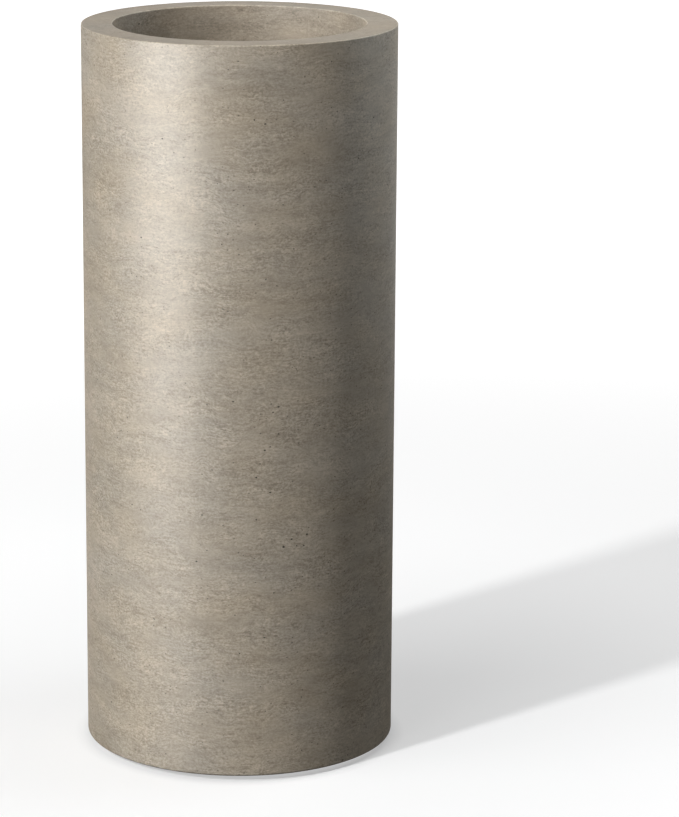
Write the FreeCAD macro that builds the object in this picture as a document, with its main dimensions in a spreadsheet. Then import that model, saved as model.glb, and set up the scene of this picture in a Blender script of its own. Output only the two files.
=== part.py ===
"""A tall round planter of cast concrete, built the way its maker puts it together.

A thick concrete tube has an inward ledge at its foot. A floor slab, cast by itself, drops in from above and
is bedded on the ledge in mortar. A drain fitting passes through the slab: a flanged bush with its gasket and
lock nut, a loose strainer on top and a rubber plug pushed in from below. Steel pegs in the wall carry a
lift-out planting shelf, and push-in rubber feet hold the concrete clear of the ground.

Millimetres, +Z up, with the origin on the ground at the planter's axis. The front is -Y."""

import FreeCAD, Part
import os

import Sketcher

# Driving dimensions: the alias of the sheet's cell, its value in millimetres (or a count), what it is
SIZES = [
    ("tube_height", 700, "concrete tube, foot to rim"),
    ("outer_diameter", 300, "outside of the concrete tube"),
    ("wall_thickness", 30, "concrete wall, and so the width of the rim"),
    ("rim_edge_radius", 2, "rounding of both edges of the rim"),
    ("foot_edge_radius", 2, "rounding of the tube's foot"),
    ("ground_gap", 5, "slit between the ground and the concrete"),
    ("ledge_width", 25, "inward reach of the ledge that carries the floor"),
    ("ledge_height", 30, "thickness of the ledge"),
    ("bed_thickness", 2, "mortar under the floor slab"),
    ("joint_gap", 1.5, "mortar joint round the floor slab"),
    ("slab_thickness", 28, "floor slab at its rim"),
    ("slab_fall", 3, "fall of the slab's top towards the drain"),
    ("drain_bore", 25, "clear bore of the drain bush"),
    ("bush_wall", 3, "wall of the drain bush"),
    ("bush_flange_width", 12, "reach of the bush's flange past its sleeve"),
    ("bush_flange_thickness", 3, "bush flange"),
    ("bush_tail", 4, "length of the bush below its lock nut"),
    ("bush_clearance", 0.2, "radial clearance of the bush in slab, gasket and nut"),
    ("seat_clearance", 0.5, "radial clearance of flange and strainer in the slab's recess"),
    ("gasket_thickness", 2, "flat gasket under the flange"),
    ("locknut_flats", 44, "lock nut across flats"),
    ("locknut_thickness", 9, "lock nut"),
    ("strainer_thickness", 2, "strainer disc"),
    ("strainer_hole", 4.5, "holes of the strainer"),
    ("strainer_web", 1.2, "steel between a strainer hole and the edge of the bore below"),
    ("strainer_hole_count", 8, "holes in the strainer's ring"),
    ("knob_diameter", 8, "pull knob of the strainer"),
    ("knob_height", 9, "pull knob above the strainer disc"),
    ("plug_clearance", 0.3, "radial clearance of the plug in the bore"),
    ("plug_length", 22, "plug inside the bore"),
    ("plug_nose", 3, "chamfer at the plug's leading end"),
    ("plug_head_width", 4, "reach of the plug's head past the bush"),
    ("plug_head_thickness", 4, "plug head"),
    ("tab_width", 18, "pull tab of the plug"),
    ("tab_height", 9, "pull tab below the plug's head"),
    ("tab_thickness", 5, "pull tab"),
    ("planting_depth", 300, "rim down to the top of the shelf"),
    ("shelf_thickness", 8, "shelf plate"),
    ("shelf_clearance", 2, "radial clearance of the shelf in the tube"),
    ("shelf_edge_radius", 1.5, "rounding of the shelf's rim and finger holes"),
    ("shelf_seat_gap", 0.2, "shelf to the crest of its pegs"),
    ("shelf_rib_depth", 12, "stiffening ring under the shelf"),
    ("shelf_rib_thickness", 4, "stiffening ring"),
    ("shelf_rib_clearance", 1, "stiffening ring to the tips of the pegs"),
    ("shelf_hole", 10, "drain holes of the shelf"),
    ("shelf_web", 5, "plate between neighbouring rings of holes"),
    ("finger_hole", 28, "finger holes of the shelf"),
    ("inner_hole_count", 6, "drain holes in the shelf's inner ring"),
    ("outer_hole_count", 18, "drain holes in the shelf's outer ring"),
    ("peg_count", 3, "pegs that carry the shelf"),
    ("peg_diameter", 10, "peg"),
    ("peg_reach", 22, "peg inside the tube"),
    ("peg_grip", 18, "peg inside its socket"),
    ("peg_clearance", 0.1, "radial clearance of the peg in its socket"),
    ("peg_chamfer", 1, "chamfer at both ends of a peg"),
    ("foot_count", 4, "rubber feet"),
    ("foot_diameter", 36, "rubber foot"),
    ("foot_inset", 32, "outside of the tube in to a foot's centre"),
    ("foot_rounding", 1.2, "rounding of a foot's lower edge"),
    ("stem_diameter", 10, "stem of a foot"),
    ("stem_length", 16, "stem of a foot"),
    ("stem_clearance", 0.1, "radial clearance of a stem in its socket"),
    ("socket_end_gap", 1, "air at the blind end of a peg's or foot's socket"),
]

# Radii of the tube and what fits in it, as expressions over the sheet
OUTER_RADIUS = "(Sizes.outer_diameter / 2)"
INNER_RADIUS = f"({OUTER_RADIUS} - Sizes.wall_thickness)"
LEDGE_RADIUS = f"({INNER_RADIUS} - Sizes.ledge_width)"
SLAB_RADIUS = f"({INNER_RADIUS} - Sizes.joint_gap)"
SHELF_RADIUS = f"({INNER_RADIUS} - Sizes.shelf_clearance)"
PEG_TIP_RADIUS = f"({INNER_RADIUS} - Sizes.peg_reach)"
FOOT_CIRCLE_RADIUS = f"({OUTER_RADIUS} - Sizes.foot_inset)"

# Radii of the drain fitting
BORE_RADIUS = "(Sizes.drain_bore / 2)"
SLEEVE_RADIUS = f"({BORE_RADIUS} + Sizes.bush_wall)"
FLANGE_RADIUS = f"({SLEEVE_RADIUS} + Sizes.bush_flange_width)"
SLEEVE_HOLE_RADIUS = f"({SLEEVE_RADIUS} + Sizes.bush_clearance)"
RECESS_RADIUS = f"({FLANGE_RADIUS} + Sizes.seat_clearance)"
PLUG_RADIUS = f"({BORE_RADIUS} - Sizes.plug_clearance)"
PLUG_HEAD_RADIUS = f"({SLEEVE_RADIUS} + Sizes.plug_head_width)"

# Heights above the ground, from the foot up
RIM_TOP = "(Sizes.ground_gap + Sizes.tube_height)"
LEDGE_TOP = "(Sizes.ground_gap + Sizes.ledge_height)"
SLAB_BOTTOM = f"({LEDGE_TOP} + Sizes.bed_thickness)"
SLAB_TOP = f"({SLAB_BOTTOM} + Sizes.slab_thickness)"
DRAIN_LEVEL = f"({SLAB_TOP} - Sizes.slab_fall)"
STRAINER_SEAT = f"({DRAIN_LEVEL} - Sizes.strainer_thickness)"
FLANGE_SEAT = f"({STRAINER_SEAT} - Sizes.bush_flange_thickness)"
RECESS_FLOOR = f"({FLANGE_SEAT} - Sizes.gasket_thickness)"
LOCKNUT_BOTTOM = f"({SLAB_BOTTOM} - Sizes.locknut_thickness)"
BUSH_END = f"({LOCKNUT_BOTTOM} - Sizes.bush_tail)"
PLUG_HEAD_BOTTOM = f"({BUSH_END} - Sizes.plug_head_thickness)"
SHELF_TOP = f"({RIM_TOP} - Sizes.planting_depth)"
SHELF_BOTTOM = f"({SHELF_TOP} - Sizes.shelf_thickness)"
PEG_AXIS = f"({SHELF_BOTTOM} - Sizes.shelf_seat_gap - Sizes.peg_diameter / 2)"

# The first foot stands midway between the front and the side
FIRST_FOOT_ANGLE = 45

TOLERANCE = 1e-6

doc = FreeCAD.newDocument("planter")
sheet = doc.addObject("Spreadsheet::Sheet", "Sizes")
for row, (alias, number, meaning) in enumerate(SIZES, 1):
    sheet.set(f"A{row}", meaning)
    sheet.set(f"B{row}", str(number))
    sheet.setAlias(f"B{row}", alias)
doc.recompute()


def value(expression):
    """The number that an expression over the sheet gives."""
    return float(sheet.evalExpression(expression))


def new_body(name):
    """An empty body that will hold one piece."""
    body = doc.addObject("PartDesign::Body", name)
    body.Label = name
    return body


def origin(body, role):
    """One of the body's own origin planes or axes."""
    return next(feature for feature in body.Origin.OriginFeatures if feature.Role == role)


def new_sketch(body, plane, name, offset="0"):
    """An empty sketch on one of the body's planes, moved along that plane's normal by offset."""
    sketch = body.newObject("Sketcher::SketchObject", name)
    sketch.AttachmentSupport = [(origin(body, plane), "")]
    sketch.MapMode = "FlatFace"
    sketch.setExpression("AttachmentOffset.Base.z", offset)
    return sketch


def bind(sketch, kind, expression, *references):
    """Adds a dimension to the sketch and ties it to the sheet."""
    index = sketch.addConstraint(Sketcher.Constraint(kind, *references, value(expression)))
    sketch.setExpression(f"Constraints[{index}]", expression)


def pin(sketch, geometry, point, across, along):
    """Holds a sketch point at two expressions, measured from the sketch's origin."""
    for kind, axis, expression in (("DistanceX", -2, across), ("DistanceY", -1, along)):
        if expression == "0":
            sketch.addConstraint(Sketcher.Constraint("PointOnObject", geometry, point, axis))
        elif value(expression) > 0:
            bind(sketch, kind, expression, -1, 1, geometry, point)
        else:
            bind(sketch, kind, f"-{expression}", geometry, point, -1, 1)


def outline(body, plane, name, corners, offset="0"):
    """A closed straight-sided sketch through corners, each a pair of expressions."""
    sketch = new_sketch(body, plane, name, offset)
    points = [FreeCAD.Vector(value(across), value(along), 0) for across, along in corners]
    for start, end in zip(points, points[1:] + points[:1]):
        sketch.addGeometry(Part.LineSegment(start, end))
    for line in range(len(points)):
        following = (line + 1) % len(points)
        sketch.addConstraint(Sketcher.Constraint("Coincident", line, 2, following, 1))
    for line, (across, along) in enumerate(corners):
        pin(sketch, line, 1, across, along)
    return sketch


def circles(body, plane, name, spots, offset="0"):
    """A sketch of circles, each given by the expressions of its centre and its diameter."""
    sketch = new_sketch(body, plane, name, offset)
    for across, along, diameter in spots:
        centre = FreeCAD.Vector(value(across), value(along), 0)
        circle = sketch.addGeometry(Part.Circle(centre, FreeCAD.Vector(0, 0, 1), value(diameter) / 2))
        pin(sketch, circle, 3, across, along)
        bind(sketch, "Diameter", diameter, circle)
    return sketch


def revolve(body, name, corners):
    """A turned solid: the half section through corners, as (radius, height), swept about the planter's axis."""
    turned = body.newObject("PartDesign::Revolution", name)
    turned.Profile = outline(body, "XZ_Plane", f"{name}_section", corners)
    turned.ReferenceAxis = (turned.Profile[0], ["V_Axis"])
    turned.Angle = 360
    doc.recompute()
    return turned


def pad(body, name, sketch, length, downwards=False, midplane=False):
    """Thickens a sketch by length, along its normal or against it."""
    solid = body.newObject("PartDesign::Pad", name)
    solid.Profile = sketch
    solid.setExpression("Length", length)
    solid.Reversed = downwards
    solid.Midplane = midplane
    doc.recompute()
    return solid


def pocket(body, name, sketch, length, with_normal):
    """Cuts a sketch into the body by length and makes sure that the cut meets material."""
    before = body.Shape.Volume
    cut = body.newObject("PartDesign::Pocket", name)
    cut.Profile = sketch
    cut.setExpression("Length", length)
    cut.Reversed = with_normal
    doc.recompute()
    if body.Shape.Volume > before - TOLERANCE:
        raise RuntimeError(f"{name} cuts nothing")
    return cut


def around(body, name, feature, count):
    """Repeats a feature evenly about the planter's axis."""
    pattern = body.newObject("PartDesign::PolarPattern", name)
    pattern.Originals = [feature]
    pattern.Axis = (origin(body, "Z_Axis"), [""])
    pattern.Angle = 360
    pattern.setExpression("Occurrences", count)
    body.Tip = pattern
    doc.recompute()
    return pattern


def round_edges(feature, radius, height):
    """Names of the feature's level circular edges of that radius at that height."""
    names = []
    for number, edge in enumerate(feature.Shape.Edges, 1):
        curve = edge.Curve
        if not isinstance(curve, Part.Circle) or abs(curve.Axis.z) < 1 - TOLERANCE:
            continue
        same_radius = abs(curve.Radius - value(radius)) < TOLERANCE
        if same_radius and abs(curve.Center.z - value(height)) < TOLERANCE:
            names.append(f"Edge{number}")
    return names


def dress(body, kind, name, edges, amount):
    """Rounds or chamfers the named edges of the body's last feature."""
    base = body.Tip
    edging = body.newObject(f"PartDesign::{kind}", name)
    edging.Base = (base, edges)
    edging.setExpression("Radius" if kind == "Fillet" else "Size", amount)
    doc.recompute()
    return edging


def wall_shell():
    """The concrete tube: rim, foot ledge, sockets for the shelf's pegs and for the stems of the feet."""
    body = new_body("wall_shell")
    tube = revolve(body, "tube", [
        (LEDGE_RADIUS, "Sizes.ground_gap"),
        (OUTER_RADIUS, "Sizes.ground_gap"),
        (OUTER_RADIUS, RIM_TOP),
        (INNER_RADIUS, RIM_TOP),
        (INNER_RADIUS, LEDGE_TOP),
        (LEDGE_RADIUS, LEDGE_TOP),
    ])
    rim = round_edges(tube, OUTER_RADIUS, RIM_TOP)
    rim += round_edges(tube, INNER_RADIUS, RIM_TOP)
    rounded = dress(body, "Fillet", "rim_edges", rim, "Sizes.rim_edge_radius")
    foot = round_edges(rounded, OUTER_RADIUS, "Sizes.ground_gap")
    foot += round_edges(rounded, LEDGE_RADIUS, "Sizes.ground_gap")
    dress(body, "Fillet", "foot_edges", foot, "Sizes.foot_edge_radius")

    peg_hole = "Sizes.peg_diameter + 2 * Sizes.peg_clearance"
    peg_mouth = circles(body, "YZ_Plane", "peg_mouth", [("0", PEG_AXIS, peg_hole)])
    peg_socket = pocket(body, "peg_socket", peg_mouth,
                        f"{INNER_RADIUS} + Sizes.peg_grip + Sizes.socket_end_gap", with_normal=True)
    around(body, "peg_sockets", peg_socket, "Sizes.peg_count")

    across, along = foot_centre(FIRST_FOOT_ANGLE)
    stem_hole = "Sizes.stem_diameter + 2 * Sizes.stem_clearance"
    stem_mouth = circles(body, "XY_Plane", "stem_mouth", [(across, along, stem_hole)], "Sizes.ground_gap")
    stem_socket = pocket(body, "stem_socket", stem_mouth,
                         "Sizes.stem_length + Sizes.socket_end_gap", with_normal=True)
    around(body, "stem_sockets", stem_socket, "Sizes.foot_count")
    return body


def floor_slab():
    """The concrete floor, with a fall to the recess that takes the drain fitting."""
    body = new_body("floor_slab")
    revolve(body, "disc", [
        (SLEEVE_HOLE_RADIUS, SLAB_BOTTOM),
        (SLAB_RADIUS, SLAB_BOTTOM),
        (SLAB_RADIUS, SLAB_TOP),
        (RECESS_RADIUS, DRAIN_LEVEL),
        (RECESS_RADIUS, RECESS_FLOOR),
        (SLEEVE_HOLE_RADIUS, RECESS_FLOOR),
    ])
    return body


def mortar_bed():
    """The mortar between slab and tube: flat on the ledge, upright in the joint."""
    body = new_body("mortar_bed")
    revolve(body, "bed_and_joint", [
        (LEDGE_RADIUS, LEDGE_TOP),
        (INNER_RADIUS, LEDGE_TOP),
        (INNER_RADIUS, SLAB_TOP),
        (SLAB_RADIUS, SLAB_TOP),
        (SLAB_RADIUS, SLAB_BOTTOM),
        (LEDGE_RADIUS, SLAB_BOTTOM),
    ])
    return body


def drain_gasket():
    """The flat rubber ring that the bush's flange presses on the slab."""
    body = new_body("drain_gasket")
    revolve(body, "ring", [
        (SLEEVE_HOLE_RADIUS, RECESS_FLOOR),
        (FLANGE_RADIUS, RECESS_FLOOR),
        (FLANGE_RADIUS, FLANGE_SEAT),
        (SLEEVE_HOLE_RADIUS, FLANGE_SEAT),
    ])
    return body


def drain_bush():
    """The plastic sleeve through the slab, with its flange on top."""
    body = new_body("drain_bush")
    revolve(body, "flanged_sleeve", [
        (BORE_RADIUS, BUSH_END),
        (SLEEVE_RADIUS, BUSH_END),
        (SLEEVE_RADIUS, FLANGE_SEAT),
        (FLANGE_RADIUS, FLANGE_SEAT),
        (FLANGE_RADIUS, STRAINER_SEAT),
        (BORE_RADIUS, STRAINER_SEAT),
    ])
    return body


def drain_locknut():
    """The hexagon nut that clamps the bush from below the slab."""
    hexagon = doc.addObject("Part::Prism", "locknut_hexagon")
    hexagon.Polygon = 6
    hexagon.setExpression("Circumradius", "Sizes.locknut_flats / 2 / cos(30 deg)")
    hexagon.setExpression("Height", "Sizes.locknut_thickness")
    hexagon.setExpression("Placement.Base.z", LOCKNUT_BOTTOM)
    bore = doc.addObject("Part::Cylinder", "locknut_bore")
    bore.setExpression("Radius", SLEEVE_HOLE_RADIUS)
    bore.setExpression("Height", "Sizes.locknut_thickness")
    bore.setExpression("Placement.Base.z", LOCKNUT_BOTTOM)
    nut = doc.addObject("Part::Cut", "drain_locknut")
    nut.Base = hexagon
    nut.Tool = bore
    doc.recompute()
    return nut


def drain_strainer():
    """The loose perforated disc that keeps soil out of the drain, with a knob to lift it by."""
    body = new_body("drain_strainer")
    knob_radius = "(Sizes.knob_diameter / 2)"
    knob_top = f"({DRAIN_LEVEL} + Sizes.knob_height)"
    disc = revolve(body, "disc_and_knob", [
        ("0", STRAINER_SEAT),
        (FLANGE_RADIUS, STRAINER_SEAT),
        (FLANGE_RADIUS, DRAIN_LEVEL),
        (knob_radius, DRAIN_LEVEL),
        (knob_radius, knob_top),
        ("0", knob_top),
    ])
    dress(body, "Fillet", "knob_crown", round_edges(disc, knob_radius, knob_top), "Sizes.knob_diameter / 4")
    hole_circle = f"({BORE_RADIUS} - Sizes.strainer_web - Sizes.strainer_hole / 2)"
    mouth = circles(body, "XY_Plane", "hole_mouth", [(hole_circle, "0", "Sizes.strainer_hole")], DRAIN_LEVEL)
    hole = pocket(body, "hole", mouth, "Sizes.strainer_thickness", with_normal=False)
    around(body, "holes", hole, "Sizes.strainer_hole_count")
    return body


def drain_plug():
    """The rubber plug: a stem in the bore, a head under the bush and a tab to pull."""
    body = new_body("drain_plug")
    plug_end = f"({BUSH_END} + Sizes.plug_length)"
    stem = revolve(body, "stem_and_head", [
        ("0", PLUG_HEAD_BOTTOM),
        (PLUG_HEAD_RADIUS, PLUG_HEAD_BOTTOM),
        (PLUG_HEAD_RADIUS, BUSH_END),
        (PLUG_RADIUS, BUSH_END),
        (PLUG_RADIUS, plug_end),
        ("0", plug_end),
    ])
    dress(body, "Chamfer", "nose", round_edges(stem, PLUG_RADIUS, plug_end), "Sizes.plug_nose")
    tab_bottom = f"({PLUG_HEAD_BOTTOM} - Sizes.tab_height)"
    tab = outline(body, "XZ_Plane", "tab_outline", [
        ("-Sizes.tab_width / 2", tab_bottom),
        ("Sizes.tab_width / 2", tab_bottom),
        ("Sizes.tab_width / 2", PLUG_HEAD_BOTTOM),
        ("-Sizes.tab_width / 2", PLUG_HEAD_BOTTOM),
    ])
    pad(body, "tab", tab, "Sizes.tab_thickness", midplane=True)
    return body


def shelf_plate():
    """The lift-out shelf: a drained plate with finger holes and a ring below that sits between the pegs."""
    body = new_body("shelf_plate")
    rib_outer = f"({PEG_TIP_RADIUS} - Sizes.shelf_rib_clearance)"
    rib_inner = f"({rib_outer} - Sizes.shelf_rib_thickness)"
    rib_bottom = f"({SHELF_BOTTOM} - Sizes.shelf_rib_depth)"
    plate = revolve(body, "plate", [
        ("0", SHELF_BOTTOM),
        (SHELF_RADIUS, SHELF_BOTTOM),
        (SHELF_RADIUS, SHELF_TOP),
        ("0", SHELF_TOP),
    ])
    dress(body, "Fillet", "plate_edge", round_edges(plate, SHELF_RADIUS, SHELF_TOP), "Sizes.shelf_edge_radius")
    ring = circles(body, "XY_Plane", "rib_section",
                   [("0", "0", f"2 * {rib_outer}"), ("0", "0", f"2 * {rib_inner}")], SHELF_BOTTOM)
    pad(body, "rib", ring, f"{SHELF_BOTTOM} - {rib_bottom}", downwards=True)

    outer_circle = f"({rib_inner} - Sizes.shelf_web - Sizes.shelf_hole / 2)"
    finger_circle = f"({outer_circle} - Sizes.shelf_hole / 2 - Sizes.shelf_web - Sizes.finger_hole / 2)"
    inner_circle = f"({finger_circle} - Sizes.finger_hole / 2 - Sizes.shelf_web - Sizes.shelf_hole / 2)"
    rings = [
        ("outer_hole", outer_circle, "0", "Sizes.shelf_hole", "Sizes.outer_hole_count"),
        ("inner_hole", inner_circle, "0", "Sizes.shelf_hole", "Sizes.inner_hole_count"),
        ("finger_hole", "0", finger_circle, "Sizes.finger_hole", "2"),
    ]
    for name, across, along, diameter, count in rings:
        mouth = circles(body, "XY_Plane", f"{name}_mouth", [(across, along, diameter)], SHELF_TOP)
        hole = pocket(body, name, mouth, "Sizes.shelf_thickness", with_normal=False)
        around(body, f"{name}s", hole, count)
    grips = round_edges(body.Tip, "Sizes.finger_hole / 2", SHELF_TOP)
    grips += round_edges(body.Tip, "Sizes.finger_hole / 2", SHELF_BOTTOM)
    dress(body, "Fillet", "finger_hole_edges", grips, "Sizes.shelf_edge_radius")
    return body


def shelf_peg(number):
    """One steel peg, half in its socket in the wall, turned to its place about the planter's axis."""
    body = new_body(f"shelf_peg_{number}")
    end = circles(body, "YZ_Plane", "end", [("0", PEG_AXIS, "Sizes.peg_diameter")], PEG_TIP_RADIUS)
    rod = pad(body, "rod", end, "Sizes.peg_reach + Sizes.peg_grip")
    rims = [f"Edge{i}" for i, edge in enumerate(rod.Shape.Edges, 1) if isinstance(edge.Curve, Part.Circle)]
    dress(body, "Chamfer", "ends", rims, "Sizes.peg_chamfer")
    body.setExpression("Placement.Rotation.Angle", f"360 deg * {number - 1} / Sizes.peg_count")
    doc.recompute()
    return body


def foot_centre(angle):
    """The place of a foot's axis on the foot circle, as two expressions."""
    turn = f"{angle} * 1 deg"
    return f"{FOOT_CIRCLE_RADIUS} * cos({turn})", f"{FOOT_CIRCLE_RADIUS} * sin({turn})"


def foot_pad(number):
    """One rubber foot, with a stem that pushes into the ledge."""
    body = new_body(f"foot_pad_{number}")
    foot_radius = "(Sizes.foot_diameter / 2)"
    stem_radius = "(Sizes.stem_diameter / 2)"
    stem_end = "(Sizes.ground_gap + Sizes.stem_length)"
    turned = revolve(body, "disc_and_stem", [
        ("0", "0"),
        (foot_radius, "0"),
        (foot_radius, "Sizes.ground_gap"),
        (stem_radius, "Sizes.ground_gap"),
        (stem_radius, stem_end),
        ("0", stem_end),
    ])
    dress(body, "Fillet", "lower_edge", round_edges(turned, foot_radius, "0"), "Sizes.foot_rounding")
    angle = f"({FIRST_FOOT_ANGLE} + 360 * {number - 1} / Sizes.foot_count)"
    across, along = foot_centre(angle)
    body.setExpression("Placement.Base.x", across)
    body.setExpression("Placement.Base.y", along)
    doc.recompute()
    return body


def check_and_write(pieces):
    """Stops if anything failed to build, then writes each piece to its own file."""
    doc.recompute()
    for thing in doc.Objects:
        if "Invalid" in thing.State or "Error" in thing.State:
            raise RuntimeError(f"{thing.Name} failed: {thing.State}")
    os.makedirs("parts", exist_ok=True)
    for piece in pieces:
        shape = piece.Shape
        if shape.isNull() or not shape.isValid() or len(shape.Solids) != 1:
            raise RuntimeError(f"{piece.Label} isn't one valid solid")
        shape.exportStep(f"parts/{piece.Label}.step")
        print(f"{piece.Label}: {shape.Volume / 1000:.1f} cm3")


planter = [
    wall_shell(),
    floor_slab(),
    mortar_bed(),
    drain_gasket(),
    drain_bush(),
    drain_locknut(),
    drain_strainer(),
    drain_plug(),
    shelf_plate(),
]
planter += [shelf_peg(number) for number in range(1, int(value("Sizes.peg_count")) + 1)]
planter += [foot_pad(number) for number in range(1, int(value("Sizes.foot_count")) + 1)]
check_and_write(planter)
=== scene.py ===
"""The looks of a tall round planter of cast concrete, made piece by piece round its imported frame."""

import math
import random

import bmesh
import bpy
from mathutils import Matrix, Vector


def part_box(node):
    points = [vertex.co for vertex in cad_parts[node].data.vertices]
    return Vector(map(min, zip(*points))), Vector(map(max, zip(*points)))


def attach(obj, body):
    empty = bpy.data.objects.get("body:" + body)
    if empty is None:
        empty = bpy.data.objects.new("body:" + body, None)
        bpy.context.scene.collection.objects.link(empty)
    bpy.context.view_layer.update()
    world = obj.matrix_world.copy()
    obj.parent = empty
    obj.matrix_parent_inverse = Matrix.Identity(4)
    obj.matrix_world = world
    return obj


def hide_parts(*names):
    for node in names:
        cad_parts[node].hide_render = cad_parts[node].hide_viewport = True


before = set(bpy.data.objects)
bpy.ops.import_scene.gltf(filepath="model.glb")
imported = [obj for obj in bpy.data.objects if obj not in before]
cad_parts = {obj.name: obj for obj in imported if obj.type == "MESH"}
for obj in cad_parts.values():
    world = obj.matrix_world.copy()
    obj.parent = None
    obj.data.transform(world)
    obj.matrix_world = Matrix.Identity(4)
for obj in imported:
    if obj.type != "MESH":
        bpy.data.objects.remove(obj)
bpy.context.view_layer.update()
scene = bpy.context.scene
scene.view_settings.view_transform = "Standard"

# The wall is one thick tube of concrete, cast in a round mould with an inward ledge at its foot. The rim is
# trowelled flat, and the edges of rim and foot are eased.
wall_low, wall_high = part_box("wall_shell")
bed_low, bed_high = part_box("mortar_bed")
foot = wall_low.z
rim_top = wall_high.z
ledge_top = bed_low.z
outer_radius = wall_high.x
inner_radius = bed_high.x
ledge_width = 0.025
ledge_radius = inner_radius - ledge_width
rim_edge = 0.001
foot_edge = 0.002
edge_steps = 4
wall_sides = 480
wall_cuts = 23
TINY = 1e-5
FACING = 0.9


def start_fresh():
    """Leaves nothing selected, so that an operator acts on the new piece alone."""
    if bpy.context.object and bpy.context.object.mode != "OBJECT":
        bpy.ops.object.mode_set(mode="OBJECT")
    bpy.ops.object.select_all(action="DESELECT")


def edit(name):
    """Names the new piece, brings its place into its mesh and opens it for editing."""
    piece = bpy.context.object
    piece.name = piece.data.name = name
    bpy.ops.object.transform_apply(location=True, rotation=True, scale=True)
    bpy.ops.object.mode_set(mode="EDIT")
    return piece


def choose(piece, kind, wanted):
    """Selects the faces or edges that wanted() says yes to, and nothing else."""
    bpy.ops.mesh.select_mode(type=kind)
    bpy.ops.mesh.select_all(action="DESELECT")
    mesh = bmesh.from_edit_mesh(piece.data)
    for part in mesh.faces if kind == "FACE" else mesh.edges:
        if wanted(part):
            part.select_set(True)
    mesh.select_flush_mode()
    bmesh.update_edit_mesh(piece.data)


def faces_up(face):
    """True for a level face that looks up."""
    return face.normal.z > FACING


def faces_down(face):
    """True for a level face that looks down."""
    return face.normal.z < -FACING


def reach(vertex):
    """How far a vertex stands from the planter's axis."""
    return math.hypot(vertex.co.x, vertex.co.y)


def on_ring(edge, radius, height):
    """True for an edge that lies round the axis at that radius and height."""
    return all(abs(v.co.z - height) < TINY and abs(reach(v) - radius) < TINY for v in edge.verts)


def ease(piece, rings, width, steps=3):
    """Rounds the edges that lie on the given rings, each a radius and a height."""
    choose(piece, "EDGE", lambda edge: any(on_ring(edge, radius, height) for radius, height in rings))
    bpy.ops.mesh.bevel(offset=width, segments=steps, affect="EDGES")


start_fresh()
bpy.ops.mesh.primitive_cylinder_add(vertices=wall_sides, radius=outer_radius, depth=rim_top - foot,
                                    location=(0, 0, (rim_top + foot) / 2))
wall = edit("concrete_wall")
choose(wall, "FACE", faces_up)
bpy.ops.mesh.inset(thickness=outer_radius - inner_radius)
bpy.ops.mesh.extrude_region_move(TRANSFORM_OT_translate={"value": (0, 0, ledge_top - rim_top)})
bpy.ops.mesh.inset(thickness=ledge_width)
bpy.ops.mesh.delete(type="FACE")
choose(wall, "FACE", faces_down)
bpy.ops.mesh.inset(thickness=outer_radius - ledge_radius)
bpy.ops.mesh.delete(type="FACE")
choose(wall, "EDGE", lambda edge: edge.is_boundary)
bpy.ops.mesh.bridge_edge_loops()
choose(wall, "EDGE", lambda edge: abs(edge.verts[0].co.z - edge.verts[1].co.z) > rim_top / 2)
bpy.ops.mesh.subdivide(number_cuts=wall_cuts)
bpy.ops.mesh.select_all(action="SELECT")
bpy.ops.mesh.normals_make_consistent(inside=False)
ease(wall, [(outer_radius, rim_top), (inner_radius, rim_top)], rim_edge, edge_steps)
ease(wall, [(outer_radius, foot), (ledge_radius, foot)], foot_edge, edge_steps)
bpy.ops.object.mode_set(mode="OBJECT")


def add(tree, kind, inputs=None, **properties):
    """Adds a shader node, sets its properties and fills its inputs with plain values or with links."""
    made = tree.nodes.new("ShaderNode" + kind)
    for name, setting in properties.items():
        setattr(made, name, setting)
    for name, setting in (inputs or {}).items():
        if isinstance(setting, bpy.types.NodeSocket):
            tree.links.new(setting, made.inputs[name])
        else:
            made.inputs[name].default_value = setting
    return made


def object_place(tree):
    """Where a point lies on the piece, in metres."""
    return add(tree, "TexCoord").outputs["Object"]


def combine(tree, operation, first, second=0.0, third=0.0):
    """One step of arithmetic between sockets or numbers."""
    return add(tree, "Math", {0: first, 1: second, 2: third}, operation=operation).outputs[0]


def weigh(tree, *shares, start=0.0):
    """Adds values up, each times its share, on top of a start."""
    total = start
    for value, share in shares:
        total = combine(tree, "MULTIPLY_ADD", value, share, total)
    return total


def ramp(tree, value, low, high, at_low=0.0, at_high=1.0, kind="LINEAR"):
    """Goes from at_low to at_high while the value goes from low to high, and stays level past both."""
    inputs = {"Value": value, "From Min": low, "From Max": high, "To Min": at_low, "To Max": at_high}
    return add(tree, "MapRange", inputs, interpolation_type=kind).outputs[0]


def blend_colours(tree, share, first, second, kind="MIX"):
    """Mixes two colours by a share, or lays one over the other as kind says."""
    return add(tree, "Mix", {0: share, 6: first, 7: second}, data_type="RGBA", blend_type=kind).outputs[2]


def mottle(tree, place, stretch, scale, detail, roughness=0.5):
    """Soft noise about zero, drawn out level by stretch."""
    drawn = add(tree, "Mapping", {"Vector": place, "Scale": (1, 1, stretch)}).outputs[0]
    noise = add(tree, "TexNoise", {"Vector": drawn, "Scale": scale, "Detail": detail, "Roughness": roughness})
    return combine(tree, "SUBTRACT", noise.outputs[0], 0.5)


def new_skin(name, inputs):
    """An empty node group with these inputs, which puts out a skin's colour, roughness and height."""
    group = bpy.data.node_groups.new(name, "ShaderNodeTree")
    for label, kind in inputs.items():
        group.interface.new_socket(name=label, in_out="INPUT", socket_type="NodeSocket" + kind)
    for label, kind in {"Colour": "Color", "Roughness": "Float", "Height": "Float"}.items():
        group.interface.new_socket(name=label, in_out="OUTPUT", socket_type="NodeSocket" + kind)
    return group, group.nodes.new("NodeGroupInput").outputs, group.nodes.new("NodeGroupOutput").inputs


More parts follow.
